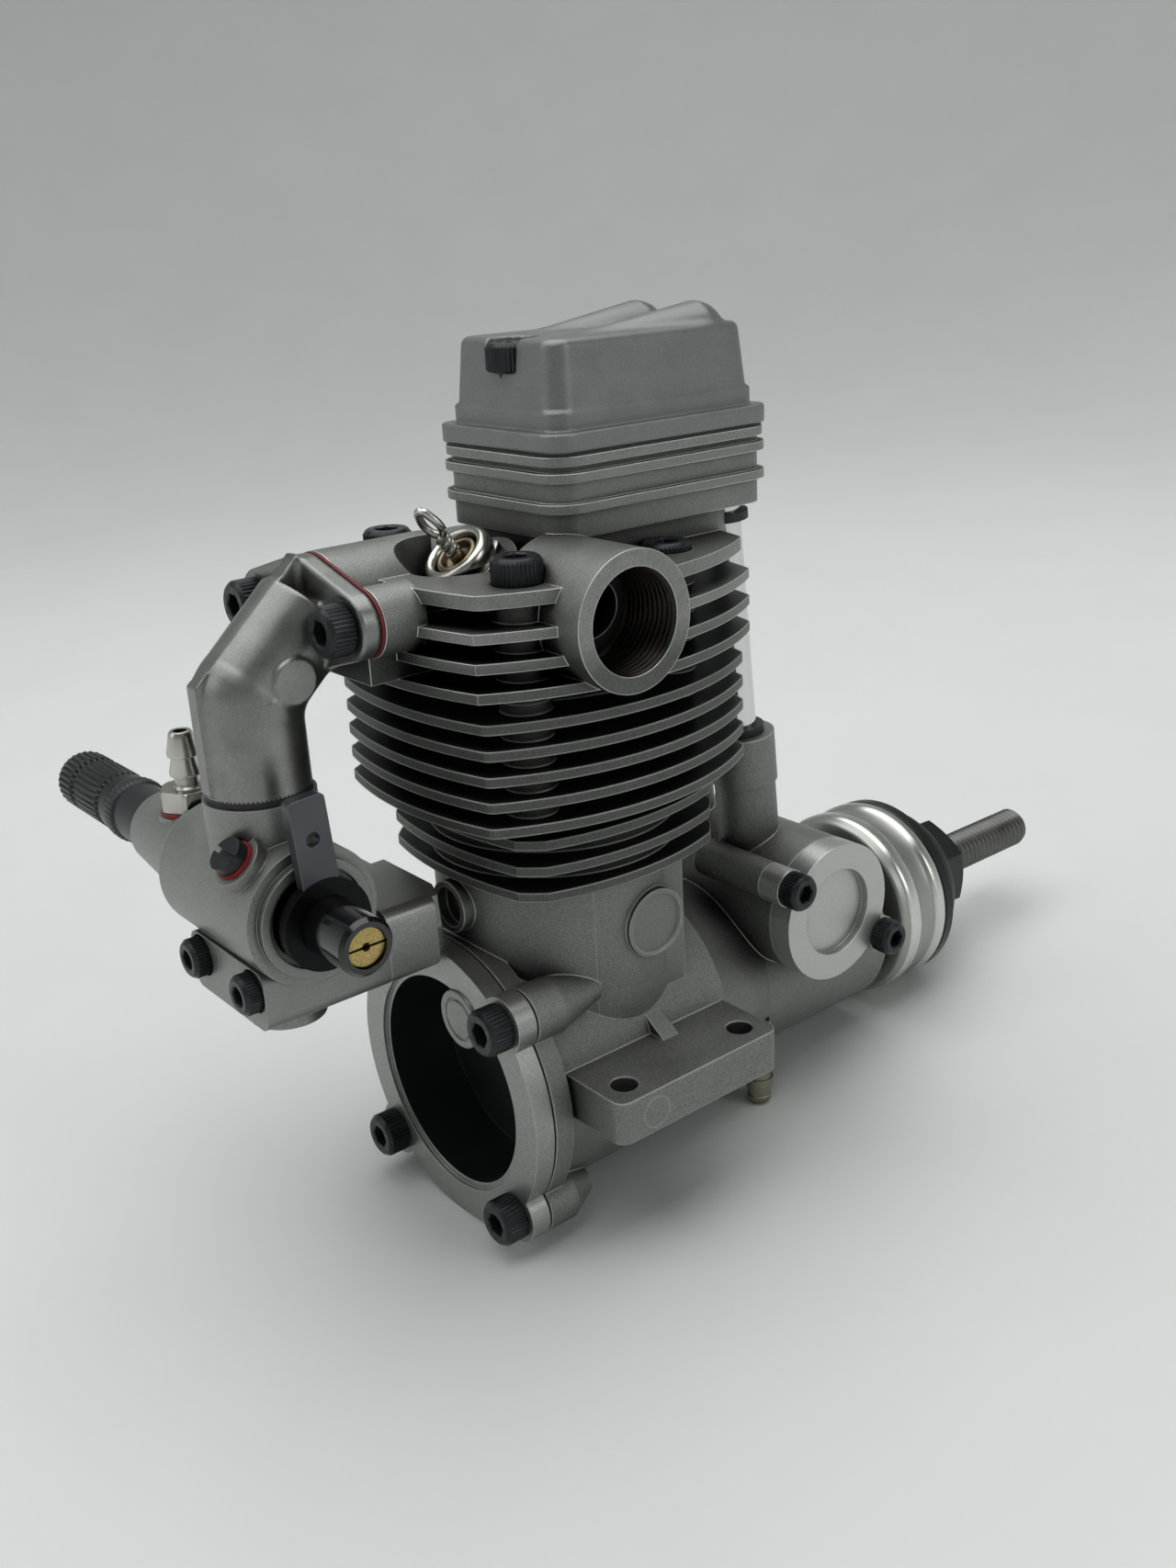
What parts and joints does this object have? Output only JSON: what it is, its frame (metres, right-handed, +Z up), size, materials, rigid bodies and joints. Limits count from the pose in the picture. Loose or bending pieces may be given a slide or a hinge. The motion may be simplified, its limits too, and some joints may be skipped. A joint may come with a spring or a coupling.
{
  "type": "model aircraft engine",
  "caption": "Air-cooled four-stroke glow engine for model aircraft with finned cylinder, pushrod tubes, rear carburettor, glow plug and threaded propeller shaft.",
  "frame": {"origin": "crankshaft axis where the cylinder axis crosses it, which is also the centre of the lug hole pattern on the lower faces of the lugs", "axes": "+Y forwards along the crankshaft to the propeller, +Z up along the cylinder to the rocker cover, +X to the exhaust side"},
  "size_m": [0.0843, 0.1367, 0.1043],
  "materials": {
    "cast_case": "bead-blasted casting",
    "cast_head": "bead-blasted casting, finned",
    "satin_cover": "satin",
    "machined": "satin machined",
    "bright_steel": "ground steel",
    "nickel": "nickel plated",
    "black_steel": "black oxide",
    "dark_shaft": "dark threaded steel",
    "black_barrel": "glossy black",
    "brass": "turned brass",
    "red_washer": "red fibre",
    "gasket": "dark red paper",
    "rubber": "black rubber",
    "copper": "soft copper",
    "tube": "polished tube"
  },
  "bodies": {
    "engine_block": {"crankcase": "cast_case", "cylinder_liner": "bright_steel", "cylinder_head": "cast_head", "head_gasket": "copper", "head_screws": "black_steel", "rocker_cover": "satin_cover", "rocker_cover_gasket": "rubber", "rocker_cover_screws": "black_steel", "back_cover": "machined", "back_cover_gasket": "gasket", "back_cover_screws": "black_steel", "cam_cover": "machined", "cam_cover_screws": "black_steel", "cam_bearings": "bright_steel", "intake_manifold": "cast_head", "manifold_gasket": "gasket", "manifold_screws": "black_steel", "manifold_seal": "rubber", "glow_plug": "nickel", "glow_plug_washer": "copper", "carburettor_body": "machined", "carburettor_screws": "black_steel", "barrel_guide_screw": "black_steel", "guide_screw_washer": "red_washer", "fuel_nipple": "nickel", "nipple_washer": "red_washer", "needle_holder": "black_steel", "front_bearing": "bright_steel", "rear_bearing": "bright_steel", "pushrod_tubes": "tube", "pushrod_tube_seals": "rubber", "rocker_shaft": "bright_steel", "intake_spring": "bright_steel", "exhaust_spring": "bright_steel", "breather_nipple": "brass"},
    "crank": {"crankshaft": "dark_shaft", "crank_gear": "bright_steel", "drive_collet": "machined", "prop_driver": "machined", "prop_washer": "black_steel", "prop_nut": "black_steel"},
    "piston_and_rod": {"piston": "machined", "piston_ring": "bright_steel", "wrist_pin": "bright_steel", "connecting_rod": "machined", "crank_pin": "bright_steel"},
    "camshaft_and_gear": {"camshaft": "bright_steel", "cam_gear": "bright_steel"},
    "intake_lifter": {"intake_tappet": "bright_steel", "intake_pushrod": "bright_steel"},
    "exhaust_lifter": {"exhaust_tappet": "bright_steel", "exhaust_pushrod": "bright_steel"},
    "intake_rocker_arm": {"intake_rocker": "bright_steel"},
    "exhaust_rocker_arm": {"exhaust_rocker": "bright_steel"},
    "intake_valve_stem": {"intake_valve": "bright_steel"},
    "exhaust_valve_stem": {"exhaust_valve": "bright_steel"},
    "throttle": {"throttle_barrel": "black_barrel", "throttle_arm": "machined"},
    "idle_adjuster": {"idle_screw": "brass"},
    "needle": {"needle_valve": "nickel"}
  },
  "joints": [
    {"name": "crank_spin", "type": "hinge", "parent": "engine_block", "child": "crank", "pos_m": [0, 0, 0], "axis": [0, 1, 0], "continuous": true},
    {"name": "cam_spin", "type": "hinge", "parent": "engine_block", "child": "camshaft_and_gear", "pos_m": [0, 0.03, 0.0121], "axis": [1, 0, 0], "continuous": true},
    {"name": "piston_stroke", "type": "slide", "parent": "engine_block", "child": "piston_and_rod", "axis": [0, 0, 1], "range_m": [-0.0205, 0]},
    {"name": "intake_rock", "type": "hinge", "parent": "engine_block", "child": "intake_rocker_arm", "pos_m": [-0.0059, 0.0123, 0.0696], "axis": [1, 0, 0], "range_deg": [0, 9.6]},
    {"name": "intake_valve_lift", "type": "slide", "parent": "engine_block", "child": "intake_valve_stem", "axis": [0, 0, -1], "range_m": [0, 0.00195], "stiffness_N_per_m": 1500, "springref_m": -0.001, "deforming": ["intake_spring"]},
    {"name": "intake_pushrod_lift", "type": "slide", "parent": "engine_block", "child": "intake_lifter", "axis": [0, -0.0837, 0.9965], "range_m": [0, 0.0017]},
    {"name": "exhaust_rock", "type": "hinge", "parent": "engine_block", "child": "exhaust_rocker_arm", "pos_m": [0.0059, 0.0123, 0.0696], "axis": [1, 0, 0], "range_deg": [0, 9.6]},
    {"name": "exhaust_valve_lift", "type": "slide", "parent": "engine_block", "child": "exhaust_valve_stem", "axis": [0, 0, -1], "range_m": [0, 0.00195], "stiffness_N_per_m": 1500, "springref_m": -0.001, "deforming": ["exhaust_spring"]},
    {"name": "exhaust_pushrod_lift", "type": "slide", "parent": "engine_block", "child": "exhaust_lifter", "axis": [0, -0.0837, 0.9965], "range_m": [0, 0.0017]},
    {"name": "throttle_turn", "type": "hinge", "parent": "engine_block", "child": "throttle", "pos_m": [-0.0059, -0.0346, 0.0283], "axis": [1, 0, 0], "range_deg": [0, 75]},
    {"name": "idle_screw_turn", "type": "hinge", "parent": "throttle", "child": "idle_adjuster", "pos_m": [-0.0059, -0.0346, 0.0283], "axis": [1, 0, 0], "range_deg": [-360, 360]},
    {"name": "needle_turn", "type": "hinge", "parent": "engine_block", "child": "needle", "pos_m": [-0.0059, -0.0346, 0.0283], "axis": [1, 0, 0], "range_deg": [-360, 720]}
  ],
  "couplings": [
    {"joint": "cam_spin", "follows": "crank_spin", "ratio": 0.5},
    {"joint": "intake_rock", "follows": "intake_valve_lift", "rad_per_m": 85.47},
    {"joint": "intake_pushrod_lift", "follows": "intake_valve_lift", "ratio": 0.8547},
    {"joint": "exhaust_rock", "follows": "exhaust_valve_lift", "rad_per_m": 85.47},
    {"joint": "exhaust_pushrod_lift", "follows": "exhaust_valve_lift", "ratio": 0.8547}
  ]
}
